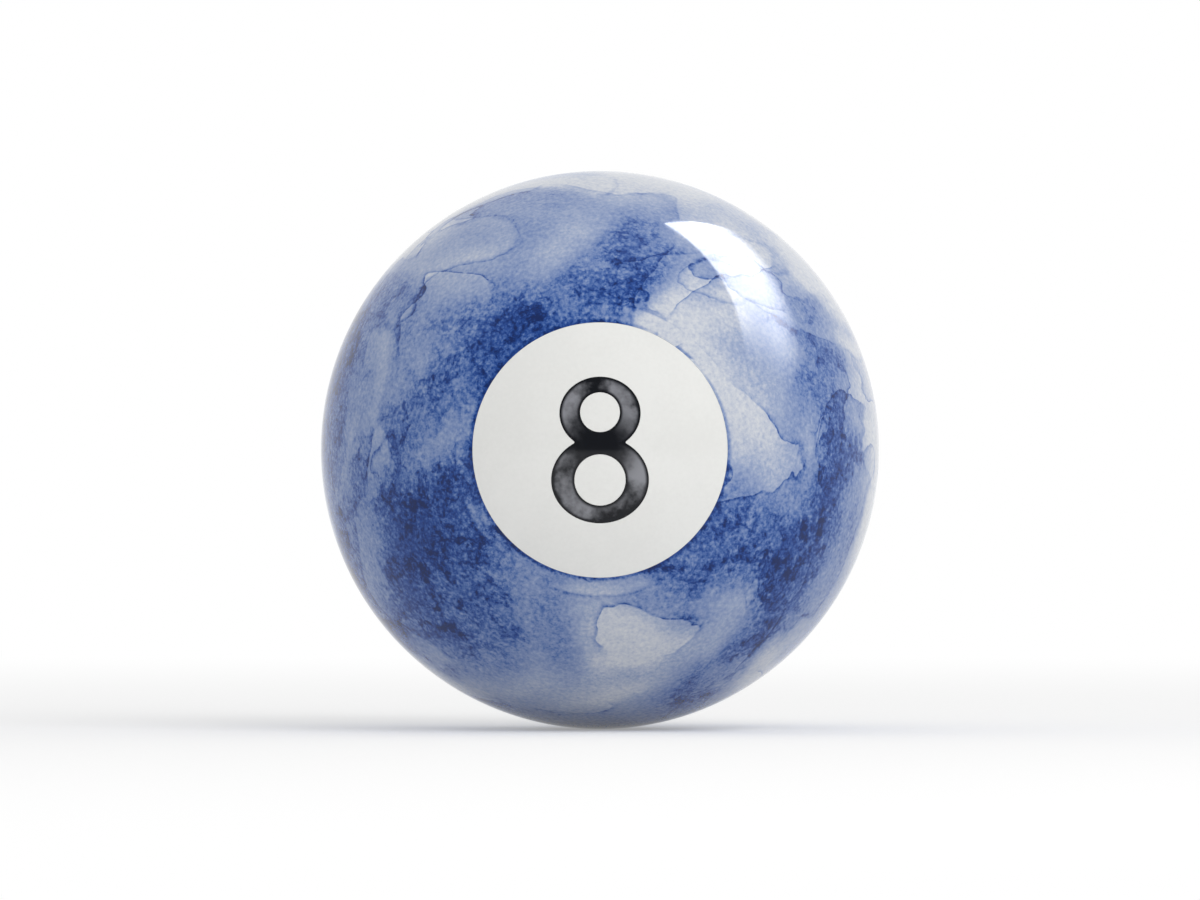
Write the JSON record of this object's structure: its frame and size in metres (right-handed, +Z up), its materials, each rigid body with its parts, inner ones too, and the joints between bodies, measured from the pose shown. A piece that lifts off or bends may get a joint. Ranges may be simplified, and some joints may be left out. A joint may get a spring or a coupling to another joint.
{
  "type": "numbered pool ball",
  "caption": "Solid cast resin ball with a white disc and a black numeral inlaid flush on opposite sides, rolled and pocketed in pool.",
  "frame": {"origin": "the ball's centre, which is the middle of its bounding box and its centre of mass", "axes": "+Z up with the front number upright; the number axis runs along Y, the front number facing -Y and the back one +Y; +X is to the right for someone who faces the front number"},
  "size_m": [0.0572, 0.0572, 0.0572],
  "materials": {
    "blue_resin": "polished cast resin, clouded in pale, mid and deep blue",
    "white_resin": "polished cast resin, warm white",
    "black_resin": "polished cast resin, smoky black"
  },
  "bodies": {
    "root": {"ball_body": "blue_resin", "front_number_disc": "white_resin", "front_figure_eight": "black_resin", "front_upper_eye": "white_resin", "front_lower_eye": "white_resin", "back_number_disc": "white_resin", "back_figure_eight": "black_resin", "back_upper_eye": "white_resin", "back_lower_eye": "white_resin"}
  },
  "joints": []
}
